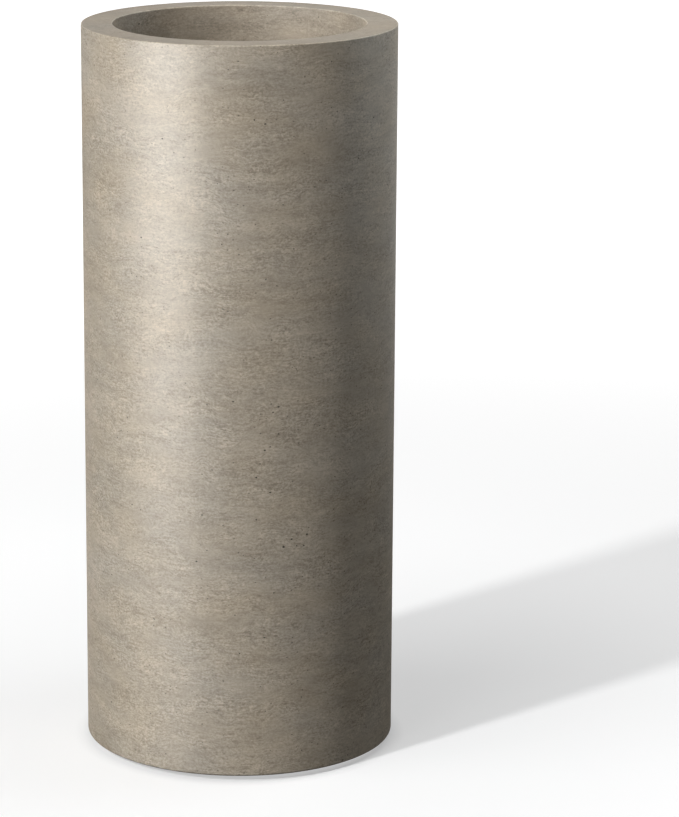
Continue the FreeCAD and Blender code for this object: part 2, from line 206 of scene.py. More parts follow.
def concrete_group():
    """Cast concrete: cloudy patches, level strokes off the mould, sand grain and the dots of small pores,
    darkened with painted shade.
    """
    group, given, put_out = new_skin("concrete_skin", {
        "Deep": "Color", "Pale": "Color", "Warm": "Color", "Cool": "Color",
        "Clouds": "Float", "Grain": "Float", "Pits": "Float"})
    still = object_place(group)
    wave = weigh(group, (mottle(group, still, stretch=1.0, scale=24, detail=2), 0.016))
    place = add(group, "VectorMath", {0: still, 1: add(group, "CombineXYZ", {2: wave}).outputs[0]}).outputs[0]
    clouds = mottle(group, place, stretch=1.8, scale=10, detail=2)
    tint = mottle(group, place, stretch=1.5, scale=16, detail=2)
    streaks = mottle(group, place, stretch=4.0, scale=22, detail=3, roughness=0.6)

    # Strokes, sand and thin pale wisps make the fine grain, which is stronger in some patches than in others.
    strokes = mottle(group, place, stretch=5.0, scale=105, detail=3, roughness=0.85)
    sand = mottle(group, place, stretch=1.4, scale=420, detail=1, roughness=0.8)
    folds = combine(group, "ABSOLUTE", mottle(group, place, stretch=4.0, scale=48, detail=3, roughness=0.6))
    wisps = ramp(group, folds, 0.0, 0.05, at_low=1.0, at_high=0.0)
    busy = weigh(group, (mottle(group, place, stretch=1.8, scale=26, detail=2), 2.4), start=0.97)
    busy = combine(group, "MAXIMUM", busy, 0.2)
    fine = combine(group, "MULTIPLY", weigh(group, (sand, 0.6), (strokes, 0.74), (wisps, 0.045)), busy)

    # The grain and the slower clouds set the tone, and another cloud leans it to the warm or the cool side.
    slow = combine(group, "MULTIPLY", weigh(group, (streaks, 0.7), (clouds, 0.5)), given["Clouds"])
    tone = combine(group, "ADD", weigh(group, (fine, given["Grain"]), start=slow), 0.38)
    body = blend_colours(group, tone, given["Deep"], given["Pale"])
    cast = blend_colours(group, weigh(group, (tint, 2.2), start=0.5), given["Cool"], given["Warm"])
    tinted = blend_colours(group, 1.0, body, cast, "MULTIPLY")

    # Pores are dots in some cells of the skin, and lie closer together in loose swarms. They dip the relief,
    # and darken the colour with painted shade.
    flattened = add(group, "Mapping", {"Vector": place, "Scale": (1, 1, 1.5)}).outputs[0]
    cells = add(group, "TexVoronoi", {"Vector": flattened, "Scale": 200}).outputs
    dots = ramp(group, cells["Distance"], 0.09, 0.21, at_low=1.0, at_high=0.0)
    lot = add(group, "SeparateColor", {0: cells["Color"]}).outputs[0]
    swarms = weigh(group, (mottle(group, place, stretch=1.6, scale=30, detail=2), 1.5), start=lot)
    pores = combine(group, "MULTIPLY", dots, combine(group, "GREATER_THAN", swarms, 0.86))
    pores = combine(group, "MULTIPLY", pores, given["Pits"])
    painted_pore_shade = combine(group, "SUBTRACT", 1.0, pores)
    group.links.new(blend_colours(group, 1.0, tinted, painted_pore_shade, "MULTIPLY"), put_out["Colour"])
    group.links.new(weigh(group, (fine, 0.2), (clouds, 0.2), start=0.51), put_out["Roughness"])
    relief = weigh(group, (streaks, 0.4), start=fine)
    group.links.new(combine(group, "SUBTRACT", relief, pores), put_out["Height"])
    return group


def skin_material(name, group, values, depth, strength, **plain):
    """A material with a skin group's colour, roughness and fine relief, and plain shader inputs by name."""
    material = bpy.data.materials.new(name)
    material.use_nodes = True
    tree = material.node_tree
    surface = tree.nodes["Principled BSDF"].inputs
    for label, setting in plain.items():
        surface[label.replace("_", " ")].default_value = setting
    skin = add(tree, "Group", values, node_tree=group)
    bump = add(tree, "Bump", {"Height": skin.outputs["Height"], "Strength": strength, "Distance": depth})
    tree.links.new(skin.outputs["Colour"], surface["Base Color"])
    tree.links.new(skin.outputs["Roughness"], surface["Roughness"])
    tree.links.new(bump.outputs[0], surface["Normal"])
    return material


concrete_skin = concrete_group()


def concrete(name, deep, pale, warm, cool, clouds, grain, pits, **finish):
    """A concrete finish between a deep and a pale tone, with a warm and a cool cast in turn."""
    values = {"Deep": (*deep, 1), "Pale": (*pale, 1), "Warm": (*warm, 1), "Cool": (*cool, 1),
              "Clouds": clouds, "Grain": grain, "Pits": pits}
    return skin_material(name, concrete_skin, values, **finish)


wall_concrete = concrete(
    "wall_concrete", deep=(0.27, 0.23, 0.175), pale=(0.605, 0.528, 0.425), warm=(1.022, 1.0, 0.963),
    cool=(0.98, 0.998, 1.03), clouds=0.95, grain=1.9, pits=0.73, depth=0.0006, strength=0.3,
    Specular_IOR_Level=0.05, Coat_Weight=0.09, Coat_IOR=3.0, Coat_Roughness=0.5)
# The rim's finish is the concrete a little greyer, and darker by painted shade on its level top.
rim_painted_shade_concrete = concrete(
    "rim_painted_shade_concrete", deep=(0.203, 0.174, 0.137), pale=(0.415, 0.361, 0.291), warm=(1.02, 1.0, 0.975),
    cool=(0.98, 1.0, 1.025), clouds=0.8, grain=1.3, pits=0.3, depth=0.0005, strength=0.25,
    Specular_IOR_Level=0.05)
inside_concrete = concrete(
    "inside_concrete", deep=(0.223, 0.191, 0.147), pale=(0.555, 0.474, 0.374), warm=(1.02, 1.0, 0.975),
    cool=(0.98, 1.0, 1.025), clouds=1.1, grain=1.4, pits=0.25, depth=0.0008, strength=0.4,
    Specular_IOR_Level=0.1, Coat_Weight=0.06, Coat_IOR=3.0, Coat_Roughness=0.42)
# The pinholes' own faces take a near-black copy of the concrete, which is painted shade in the hollows.
pinhole_painted_shade = concrete(
    "pinhole_painted_shade", deep=(0.05, 0.042, 0.033), pale=(0.11, 0.094, 0.074), warm=(1.03, 1.0, 0.96),
    cool=(0.97, 1.0, 1.04), clouds=0.6, grain=2.0, pits=0.5, depth=0.0006, strength=0.4,
    Specular_IOR_Level=0.2)

# The inside gets painted shade, darker from just below the rim downwards.
painted_shade_start = rim_top - 0.01
painted_shade_full = rim_top - 0.08
painted_shade_level = 0.72
tree = inside_concrete.node_tree
height = add(tree, "SeparateXYZ", {0: object_place(tree)}).outputs[2]
painted_shade = ramp(tree, height, painted_shade_full, painted_shade_start, at_low=painted_shade_level)
surface = tree.nodes["Principled BSDF"].inputs["Base Color"]
tree.links.new(blend_colours(tree, 1.0, surface.links[0].from_socket, painted_shade, "MULTIPLY"), surface)

wall_finishes = (wall_concrete, rim_painted_shade_concrete, inside_concrete, pinhole_painted_shade)
WALL, RIM_PAINTED_SHADE, INSIDE, PINHOLE_PAINTED_SHADE = range(4)
for material in wall_finishes:
    wall.data.materials.append(material)
# Level faces on top take the rim's finish with its painted shade, and faces within the bore take the
# inside's.
for face in wall.data.polygons:
    face.material_index = WALL
    if faces_up(face) and face.center.z > rim_top - TINY:
        face.material_index = RIM_PAINTED_SHADE
    elif math.hypot(face.center.x, face.center.y) < inner_radius + TINY:
        face.material_index = INSIDE

# Sockets for the pegs of the shelf are cored into the wall from inside, and sockets for the stems of the feet
# into the ledge from below. Each is a hair wider than what it holds, with air left at its blind end.
peg_low, peg_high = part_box("shelf_peg_1")
peg_count = 3
peg_radius = (peg_high.z - peg_low.z) / 2
peg_height = (peg_high.z + peg_low.z) / 2
foot_count = 4
foot_boxes = [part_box(f"foot_pad_{number}") for number in range(1, foot_count + 1)]
foot_places = [(low + high) / 2 for low, high in foot_boxes]
foot_top = foot_boxes[0][1].z
stem_radius = 0.005
socket_play = 0.0001
socket_end_gap = 0.001
socket_sides = 48
overshoot = 0.003


def round_angles(count, first=0.0):
    """The angles of so many places, spread evenly round the axis."""
    return [first + 2 * math.pi * number / count for number in range(count)]


def round_place(radius, angle, height):
    """The point at that radius, angle and height about the axis."""
    return radius * math.cos(angle), radius * math.sin(angle), height


def carve(piece, tools, operation="DIFFERENCE"):
    """Takes the tools out of the piece, keeps what both share or adds them on, and clears them away."""
    start_fresh()
    for tool in tools:
        tool.select_set(True)
        if not tool.data.materials:
            for material in piece.data.materials:
                tool.data.materials.append(material)
    joined = tools[0]
    bpy.context.view_layer.objects.active = joined
    if len(tools) > 1:
        bpy.ops.object.join()
    start_fresh()
    bpy.context.view_layer.objects.active = piece
    step = piece.modifiers.new("carve", "BOOLEAN")
    step.operation = operation
    step.solver = "MANIFOLD"
    step.object = joined
    bpy.ops.object.modifier_apply(modifier=step.name)
    bpy.data.objects.remove(joined)


sockets = []
mouth = inner_radius - overshoot
end = peg_high.x + socket_end_gap
for angle in round_angles(peg_count):
    start_fresh()
    bpy.ops.mesh.primitive_cylinder_add(
        vertices=socket_sides, radius=peg_radius + socket_play, depth=end - mouth,
        location=round_place((mouth + end) / 2, angle, peg_height), rotation=(0, math.pi / 2, angle))
    sockets.append(bpy.context.object)
mouth = foot - overshoot
end = foot_top + socket_end_gap
for place in foot_places:
    start_fresh()
    bpy.ops.mesh.primitive_cylinder_add(
        vertices=socket_sides, radius=stem_radius + socket_play, depth=end - mouth,
        location=(place.x, place.y, (mouth + end) / 2))
    sockets.append(bpy.context.object)
carve(wall, sockets)

# Pinholes are where air bubbles sat against the mould. Most are about a millimetre wide, and a few wider ones
# lie in a loose band on the front, each given by its degrees to the right of the front, its height in metres
# and the radius of its bubble in millimetres.
pinhole_count = 300
pinhole_spacing = 0.004
smallest_bubble = 0.0003
largest_bubble = 0.0009
rarity = 3
inside_share = 0.25
shelf_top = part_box("shelf_plate")[1].z
low_margin = 0.01
rim_margin = 0.006
bubble_shape = ((0.6, 0.9), (1.0, 1.4), (0.7, 1.0))
wide_pinholes = [(14, 0.367, 0.8), (12, 0.362, 0.7), (14, 0.341, 0.7), (11, 0.329, 0.7), (9, 0.326, 0.8),
                 (6, 0.300, 0.9), (11, 0.285, 0.9), (6, 0.259, 0.7), (25, 0.241, 0.8), (19, 0.238, 0.9),
                 (16, 0.231, 1.1), (21, 0.231, 0.7), (9, 0.143, 0.8), (0, 0.128, 0.7), (9, 0.633, 0.9)]
chance = random.Random(11)


def unrolled(angle, height, radius):
    """Where a point would lie if the wall's skins were rolled out flat, outer and inner apart."""
    return angle * radius, height, radius


def copied(piece, name):
    """A copy of the piece, with a mesh of its own."""
    one = piece.copy()
    one.data = piece.data.copy()
    one.name = one.data.name = name
    scene.collection.objects.link(one)
    return one


start_fresh()
bpy.ops.mesh.primitive_uv_sphere_add(segments=10, ring_count=6, radius=1)
bubble = bpy.context.object
for material in wall_finishes:
    bubble.data.materials.append(material)
# The bubbles hand that painted shade on to the faces of the pinholes they cut.
for face in bubble.data.polygons:
    face.material_index = PINHOLE_PAINTED_SHADE
spots = []
for degrees, height, millimetres in wide_pinholes:
    spots.append((math.radians(degrees - 90), height, outer_radius, millimetres / 1000))
while len(spots) < pinhole_count:
    inside = chance.random() < inside_share
    radius = inner_radius if inside else outer_radius
    bottom = shelf_top if inside else foot
    angle = chance.uniform(-math.pi, math.pi)
    height = chance.uniform(bottom + low_margin, rim_top - rim_margin)
    size = smallest_bubble + (largest_bubble - smallest_bubble) * chance.random() ** rarity
    here = unrolled(angle, height, radius)
    if all(math.dist(here, unrolled(*other[:3])) > pinhole_spacing for other in spots):
        spots.append((angle, height, radius, size))
bubbles = []
for angle, height, radius, size in spots:
    one = copied(bubble, "bubble")
    one.scale = [size * chance.uniform(*limits) for limits in bubble_shape]
    one.rotation_euler = (0, 0, angle)
    one.location = round_place(radius, angle, height)
    bubbles.append(one)
bpy.data.objects.remove(bubble)
carve(wall, bubbles)


def soften(piece, degrees=40):
    """Shades the piece smooth, with its sharper edges kept and its flat faces even."""
    start_fresh()
    piece.select_set(True)
    bpy.context.view_layer.objects.active = piece
    bpy.ops.object.shade_smooth_by_angle(angle=math.radians(degrees))
    step = piece.modifiers.new("even_faces", "WEIGHTED_NORMAL")
    step.keep_sharp = True
    bpy.ops.object.modifier_apply(modifier=step.name)


def fit(piece, body, node):
    """Lets the piece stand for a node of the frame on its body, and hides that node."""
    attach(piece, body)
    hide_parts(node)


soften(wall)
fit(wall, "planter", "wall_shell")

# The floor of the planter is a round slab of coarse concrete, cast by itself and set down on the ledge. Its
# top falls towards a recess for the drain.
slab_low, slab_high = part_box("floor_slab")
slab_radius = slab_high.x
slab_fall = 0.003
slab_edge = 0.0008
slab_sides = 192
recess_radius = 0.028
recess_top = slab_high.z - slab_fall
recess_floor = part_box("drain_gasket")[0].z
sleeve_hole = 0.0157


def turned(name, outline, sides):
    """Spins an outline of radius and height pairs about the axis, and leaves the piece open for editing."""
    start_fresh()
    bpy.ops.mesh.primitive_plane_add(size=0.001, location=(outline[0][0], 0, outline[0][1]))
    piece = edit(name)
    bpy.ops.mesh.select_mode(type="VERT")
    bpy.ops.mesh.select_all(action="SELECT")
    bpy.ops.mesh.merge(type="CENTER")
    for here, there in zip(outline, outline[1:]):
        bpy.ops.mesh.extrude_region_move(
            TRANSFORM_OT_translate={"value": (there[0] - here[0], 0, there[1] - here[1])})
    bpy.ops.mesh.select_all(action="SELECT")
    bpy.ops.mesh.spin(steps=sides, angle=2 * math.pi, center=(0, 0, 0), axis=(0, 0, 1))
    bpy.ops.mesh.select_all(action="SELECT")
    bpy.ops.mesh.remove_doubles(threshold=TINY)
    bpy.ops.mesh.normals_make_consistent(inside=False)
    return piece


slab = turned("floor_slab_cast", [
    (sleeve_hole, slab_low.z), (slab_radius, slab_low.z), (slab_radius, slab_high.z),
    (recess_radius, recess_top), (recess_radius, recess_floor), (sleeve_hole, recess_floor),
    (sleeve_hole, slab_low.z)], slab_sides)
ease(slab, [(slab_radius, slab_high.z), (recess_radius, recess_top)], slab_edge)
bpy.ops.object.mode_set(mode="OBJECT")
slab.data.materials.append(concrete(
    "slab_concrete", deep=(0.22, 0.20, 0.17), pale=(0.44, 0.40, 0.34), warm=(1.02, 1.0, 0.97),
    cool=(0.98, 1.0, 1.03), clouds=1.0, grain=2.2, pits=0.7, depth=0.0012, strength=0.6,
    Specular_IOR_Level=0.3))
soften(slab)
fit(slab, "planter", "floor_slab")

# The slab lies in a bed of sandy mortar that was spread on the ledge and squeezed out a little at its inner
# edge. The joint round the slab is filled with the same mortar and struck off just below the slab's top.
squeezed_out = 0.0008
squeeze_top = slab_low.z - 0.0005
squeeze_bottom = ledge_top + 0.0004
joint_top = slab_high.z - 0.0008
joint_dip = slab_radius + 0.0005
mortar = turned("mortar_joint", [
    (ledge_radius, ledge_top), (inner_radius, ledge_top), (inner_radius, slab_high.z), (joint_dip, joint_top),
    (slab_radius, joint_top), (slab_radius, slab_low.z), (ledge_radius, slab_low.z),
    (ledge_radius - squeezed_out, squeeze_top), (ledge_radius - squeezed_out, squeeze_bottom),
    (ledge_radius, ledge_top)], slab_sides)
bpy.ops.object.mode_set(mode="OBJECT")
mortar.data.materials.append(concrete(
    "sandy_mortar", deep=(0.24, 0.225, 0.20), pale=(0.42, 0.395, 0.36), warm=(1.02, 1.0, 0.98),
    cool=(0.98, 1.0, 1.02), clouds=1.0, grain=3.5, pits=0.7, depth=0.0012, strength=0.7,
    Specular_IOR_Level=0.2))
soften(mortar)
fit(mortar, "planter", "mortar_bed")

# The drain is a flanged bush of grey plastic, pushed through the slab from above onto a flat rubber gasket.
# Its sleeve has a coarse thread, and a six-sided nut on it pulls the flange down from below.
gasket_low, gasket_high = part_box("drain_gasket")
bush_low, bush_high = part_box("drain_bush")
nut_low, nut_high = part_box("drain_locknut")
flange_radius = bush_high.x
flange_edge = 0.0008
gasket_edge = 0.0005
bore_radius = 0.0125
bore_edge = 0.0004
sleeve_radius = 0.0155
sleeve_top = gasket_high.z
thread_pitch = 0.003
thread_depth = 0.0006
thread_rings = 78
thread_run_in = 0.002
thread_run_out = 0.003
nut_radius = nut_high.x
nut_chamfer = 0.0012
nut_corner = nut_radius - 0.0032
fitting_sides = 96


def moulded_group():
    """Moulded plastic or rubber: an even skin with a spark grain, faint flow clouds and paler scuffs."""
    group, given, put_out = new_skin(
        "moulded_skin", {"Body": "Color", "Scuffed": "Color", "Grain": "Float", "Matt": "Float"})
    place = object_place(group)
    grain = mottle(group, place, stretch=1.0, scale=given["Grain"], detail=2)
    clouds = mottle(group, place, stretch=1.0, scale=22, detail=3)
    rubbed = add(group, "Mapping", {"Vector": place, "Scale": (1, 5, 2)}).outputs[0]
    rubs = add(group, "TexNoise", {"Vector": rubbed, "Scale": 60, "Detail": 5, "Roughness": 0.7}).outputs[0]
    rubs = ramp(group, rubs, 0.58, 0.75)
    share = weigh(group, (grain, 0.35), (clouds, 0.5), (rubs, 0.5), start=0.18)
    group.links.new(blend_colours(group, share, given["Body"], given["Scuffed"]), put_out["Colour"])
    group.links.new(weigh(group, (rubs, 0.12), (clouds, 0.25), start=given["Matt"]), put_out["Roughness"])
    group.links.new(grain, put_out["Height"])
    return group


moulded_skin = moulded_group()


def moulded(name, body, scuffed, grain, matt, **finish):
    """A finish of moulded plastic or rubber, with its colour where it is whole and where it is scuffed."""
    values = {"Body": (*body, 1), "Scuffed": (*scuffed, 1), "Grain": grain, "Matt": matt}
    return skin_material(name, moulded_skin, values, **finish)


black_rubber = moulded("black_rubber", body=(0.014, 0.014, 0.015), scuffed=(0.055, 0.054, 0.053), grain=1500,
                       matt=0.66, depth=0.0002, strength=0.4, Specular_IOR_Level=0.35)
grey_plastic = moulded("grey_plastic", body=(0.19, 0.19, 0.195), scuffed=(0.34, 0.34, 0.345), grain=2400,
                       matt=0.4, depth=0.0001, strength=0.25, Specular_IOR_Level=0.5)

gasket = turned("drain_gasket_ring", [
    (sleeve_hole, gasket_low.z), (flange_radius, gasket_low.z), (flange_radius, gasket_high.z),
    (sleeve_hole, gasket_high.z), (sleeve_hole, gasket_low.z)], fitting_sides)
ease(gasket, [(flange_radius, gasket_low.z), (flange_radius, gasket_high.z)], gasket_edge)
bpy.ops.object.mode_set(mode="OBJECT")
gasket.data.materials.append(black_rubber)
soften(gasket)
fit(gasket, "planter", "drain_gasket")

thread_rise = (sleeve_top - bush_low.z) / thread_rings
thread_steps = [(sleeve_radius, bush_low.z + thread_rise * number) for number in range(thread_rings + 1)]
bush = turned("drain_bush_sleeve", [
    (bore_radius, bush_low.z), *thread_steps, (flange_radius, sleeve_top), (flange_radius, bush_high.z),
    (bore_radius, bush_high.z), (bore_radius, bush_low.z)], fitting_sides)
ease(bush, [(flange_radius, bush_high.z)], flange_edge)
ease(bush, [(bore_radius, bush_high.z), (bore_radius, bush_low.z)], bore_edge)
bpy.ops.object.mode_set(mode="OBJECT")
for vertex in bush.data.vertices:
    if abs(reach(vertex) - sleeve_radius) < TINY:
        height = vertex.co.z - bush_low.z
        fade = min(height / thread_run_in, (sleeve_top - vertex.co.z) / thread_run_out, 1)
        turn = math.atan2(vertex.co.y, vertex.co.x) / (2 * math.pi)
        groove = abs((height / thread_pitch - turn) % 1 - 0.5) * 2
        share = 1 - thread_depth / sleeve_radius * groove * max(fade, 0)
        vertex.co.x *= share
        vertex.co.y *= share
bush.data.materials.append(grey_plastic)
soften(bush)
fit(bush, "planter", "drain_bush")

start_fresh()
bpy.ops.mesh.primitive_cylinder_add(vertices=6, radius=nut_radius, depth=nut_high.z - nut_low.z,
                                    location=(0, 0, (nut_low.z + nut_high.z) / 2),
                                    rotation=(0, 0, math.pi / 6))
locknut = edit("drain_locknut_hex")
bpy.ops.object.mode_set(mode="OBJECT")
blank = turned("nut_blank", [
    (sleeve_hole + nut_chamfer, nut_low.z), (nut_corner, nut_low.z), (nut_radius, nut_low.z + nut_chamfer),
    (nut_radius, nut_high.z - nut_chamfer), (nut_corner, nut_high.z), (sleeve_hole + nut_chamfer, nut_high.z),
    (sleeve_hole, nut_high.z - nut_chamfer), (sleeve_hole, nut_low.z + nut_chamfer),
    (sleeve_hole + nut_chamfer, nut_low.z)], fitting_sides)
bpy.ops.object.mode_set(mode="OBJECT")
locknut.data.materials.append(grey_plastic)
carve(locknut, [blank], "INTERSECT")
soften(locknut, degrees=25)
fit(locknut, "planter", "drain_locknut")

# The strainer is a loose disc of stainless steel over the drain, with a ring of holes and a turned knob to
# lift it by. It lies on the flange of the bush.
strainer_low, strainer_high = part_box("drain_strainer")
strainer_radius = strainer_high.x
strainer_edge = 0.0004
disc_top = recess_top
knob_radius = 0.004
knob_foot = 0.0042
neck_radius = 0.0028
neck_bottom = disc_top + 0.0012
neck_top = disc_top + 0.0040
knob_bottom = disc_top + 0.0052
knob_crown = [(knob_radius, strainer_high.z - 0.0022), (0.0034, strainer_high.z - 0.0009),
              (0.0020, strainer_high.z - 0.0002), (0, strainer_high.z)]
strainer_holes = 8
strainer_hole_radius = 0.00225
strainer_hole_circle = 0.00905
strainer_hole_sides = 40
drill_length = 0.01
lathe_lines = 1300
strainer = turned("drain_strainer_disc", [
    (0, strainer_low.z), (strainer_radius, strainer_low.z), (strainer_radius, disc_top),
    (knob_foot, disc_top), (neck_radius, neck_bottom), (neck_radius, neck_top), (knob_radius, knob_bottom),
    *knob_crown], fitting_sides)
ease(strainer, [(strainer_radius, strainer_low.z), (strainer_radius, disc_top)], strainer_edge)
bpy.ops.object.mode_set(mode="OBJECT")


def steel_group():
    """Brushed stainless steel: fine lines across the given place, and soft changes of gloss."""
    group, given, put_out = new_skin("brushed_steel", {"Place": "Vector"})
    dull = (0.42, 0.41, 0.395, 1)
    bright = (0.66, 0.65, 0.63, 1)
    lines = mottle(group, given["Place"], stretch=1.0, scale=1.0, detail=4, roughness=0.7)
    clouds = mottle(group, object_place(group), stretch=1.0, scale=60, detail=3)
    share = weigh(group, (clouds, 0.6), (lines, 1.6), start=0.5)
    group.links.new(blend_colours(group, share, dull, bright), put_out["Colour"])
    group.links.new(weigh(group, (lines, 0.5), (clouds, 0.25), start=0.33), put_out["Roughness"])
    group.links.new(lines, put_out["Height"])
    return group


brushed_steel = steel_group()


def steel(name):
    """A bare steel finish, with its node tree and the input that its lines are laid by."""
    material = skin_material(name, brushed_steel, {}, depth=0.0001, strength=0.3, Metallic=1.0)
    return material, material.node_tree, material.node_tree.nodes["Group"].inputs["Place"]


turned_steel, tree, line_place = steel("turned_steel")
apart = add(tree, "SeparateXYZ", {0: object_place(tree)}).outputs
flat = add(tree, "CombineXYZ", {0: apart[0], 1: apart[1]}).outputs[0]
length = add(tree, "VectorMath", {0: flat}, operation="LENGTH").outputs["Value"]
rings = combine(tree, "MULTIPLY", length, lathe_lines)
tree.links.new(add(tree, "CombineXYZ", {0: rings, 1: apart[2]}).outputs[0], line_place)
strainer.data.materials.append(turned_steel)
drills = []
for angle in round_angles(strainer_holes):
    start_fresh()
    bpy.ops.mesh.primitive_cylinder_add(vertices=strainer_hole_sides, radius=strainer_hole_radius,
                                        depth=drill_length,
                                        location=round_place(strainer_hole_circle, angle, disc_top))
    drills.append(bpy.context.object)
carve(strainer, drills)
soften(strainer, degrees=30)
fit(strainer, "strainer", "drain_strainer")

# The plug is moulded in one piece of black rubber. Three soft ribs on its stem seal the bore from below, and
# a flat tab under its head is there to pull it out by.
plug_low, plug_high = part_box("drain_plug")
plug_radius = 0.0122
plug_waist = 0.0115
plug_nose = 0.003
nose_radius = plug_radius - plug_nose
nose_edge = 0.0006
head_radius = plug_high.x
head_top = bush_low.z
head_bottom = head_top - 0.004
head_edge = 0.0009
rib_heights = [head_top + above for above in (0.0045, 0.0095, 0.0145)]
rib_half = 0.0013
rib_crest = 0.0003
tab_width = 0.018
tab_thickness = 0.005
tab_root = head_bottom + 0.001
tab_corner = 0.004
tab_border = 0.0016
recess_depth = 0.0006
recess_slope = 0.0005
tab_edge = 0.0005
sharp_edge = math.radians(60)


def square_to_x(edge):
    """True for an edge that lies square to the x axis."""
    return abs(edge.verts[0].co.x - edge.verts[1].co.x) < TINY


outline = [(0, head_bottom), (head_radius, head_bottom), (head_radius, head_top), (plug_waist, head_top)]
for height in rib_heights:
    outline += [(plug_waist, height - rib_half), (plug_radius, height - rib_crest),
                (plug_radius, height + rib_crest), (plug_waist, height + rib_half)]
outline += [(plug_waist, plug_high.z - plug_nose), (nose_radius, plug_high.z), (0, plug_high.z)]
plug = turned("drain_plug_rubber", outline, fitting_sides)
ease(plug, [(head_radius, head_bottom), (head_radius, head_top)], head_edge)
ease(plug, [(nose_radius, plug_high.z), (plug_waist, plug_high.z - plug_nose)], nose_edge)
bpy.ops.object.mode_set(mode="OBJECT")
start_fresh()
bpy.ops.mesh.primitive_cube_add(size=1, location=(0, 0, (plug_low.z + tab_root) / 2),
                                scale=(tab_width, tab_thickness, tab_root - plug_low.z))
tab = edit("plug_tab")
choose(tab, "EDGE", lambda edge: square_to_x(edge) and all(v.co.z < plug_low.z + TINY for v in edge.verts))
bpy.ops.mesh.bevel(offset=tab_corner, segments=6, affect="EDGES")
choose(tab, "FACE", lambda face: abs(face.normal.y) > FACING)
bpy.ops.mesh.inset(thickness=tab_border, use_individual=True)
bpy.ops.mesh.inset(thickness=recess_slope, depth=-recess_depth, use_individual=True)
choose(tab, "EDGE", lambda edge: len(edge.link_faces) == 2 and edge.calc_face_angle() > sharp_edge
       and min(v.co.z for v in edge.verts) < head_bottom)
bpy.ops.mesh.bevel(offset=tab_edge, segments=2, affect="EDGES")
bpy.ops.object.mode_set(mode="OBJECT")
plug.data.materials.append(black_rubber)
carve(plug, [tab], "UNION")
soften(plug, degrees=35)
fit(plug, "plug", "drain_plug")

# Three pegs carry the shelf. Each is cut from drawn stainless bar, chamfered at both ends and pushed into its
# socket in the wall.
peg_chamfer = 0.001
peg_arris = 0.0001
peg_sides = 64
draw_lines = (40, 1500, 1500)


def reopen(piece):
    """Opens one finished piece for editing again, with all of it selected."""
    start_fresh()
    piece.select_set(True)
    bpy.context.view_layer.objects.active = piece
    bpy.ops.object.mode_set(mode="EDIT")
    bpy.ops.mesh.select_all(action="SELECT")


start_fresh()
bpy.ops.mesh.primitive_cylinder_add(vertices=peg_sides, radius=peg_radius, depth=peg_high.x - peg_low.x,
                                    location=((peg_low.x + peg_high.x) / 2, 0, peg_height),
                                    rotation=(0, math.pi / 2, 0))
first_peg = edit("shelf_peg_bar_1")
choose(first_peg, "EDGE", square_to_x)
bpy.ops.mesh.bevel(offset=peg_chamfer, segments=1, affect="EDGES")
choose(first_peg, "EDGE", square_to_x)
bpy.ops.mesh.bevel(offset=peg_arris, segments=2, affect="EDGES")
bpy.ops.object.mode_set(mode="OBJECT")
soften(first_peg, degrees=30)
pegs = [first_peg]
for number in range(2, peg_count + 1):
    pegs.append(copied(first_peg, f"shelf_peg_bar_{number}"))
for number, (peg, angle) in enumerate(zip(pegs, round_angles(peg_count)), 1):
    reopen(peg)
    bpy.ops.transform.rotate(value=-angle, orient_axis="Z", center_override=(0, 0, 0))
    bpy.ops.object.mode_set(mode="OBJECT")
    drawn_steel, tree, line_place = steel(f"drawn_steel_{number}")
    along = add(tree, "Mapping", {"Vector": object_place(tree), "Rotation": (0, 0, -angle)}).outputs[0]
    tree.links.new(add(tree, "Mapping", {"Vector": along, "Scale": draw_lines}).outputs[0], line_place)
    peg.data.materials.append(drawn_steel)
    fit(peg, "planter", f"shelf_peg_{number}")

# The shelf carries the plant. It is a moulded plate of black plastic with drain holes and two finger holes,
# and a ring below it sits between the tips of the pegs. It lies loose and lifts out.
shelf_low, shelf_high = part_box("shelf_plate")
shelf_radius = shelf_high.x
shelf_thickness = 0.008
shelf_bottom = shelf_high.z - shelf_thickness
shelf_edge = 0.0015
shelf_edge_steps = 4
shelf_sides = 240
ring_outer = 0.097
ring_inner = 0.093
ring_edge = 0.0005
ring_fillet = 0.0010
drain_hole_radius = 0.005
drain_hole_edge = 0.0005
drain_hole_sides = 40
outer_holes = 18
outer_hole_circle = 0.083
inner_holes = 6
inner_hole_circle = 0.035
finger_holes = 2
finger_hole_radius = 0.014
finger_hole_circle = 0.059
finger_hole_sides = 80
flare_steps = 4
drill_past = 0.002


def under_ring(face):
    """True for the faces of the plate's underside that the ring is drawn out of."""
    radii = [reach(vertex) for vertex in face.verts]
    return (faces_down(face) and len(radii) == 4 and min(radii) > ring_inner - TINY
            and max(radii) < ring_outer + TINY)


def flared_drill(radius, rounding, sides):
    """A tool for a hole through the plate, flared at both ends so that the hole gets rounded mouths."""
    turns = [math.pi / 2 * step / flare_steps for step in range(flare_steps + 1)]
    lower = [(radius + rounding * (1 - math.sin(turn)), shelf_bottom - TINY + rounding * (1 - math.cos(turn)))
             for turn in turns]
    upper = [(width, shelf_bottom + shelf_high.z - height) for width, height in reversed(lower)]
    widest = radius + rounding
    tool = turned("drill", [
        (0, shelf_bottom - drill_past), (widest, shelf_bottom - drill_past), *lower, *upper,
        (widest, shelf_high.z + drill_past), (0, shelf_high.z + drill_past)], sides)
    bpy.ops.object.mode_set(mode="OBJECT")
    return tool


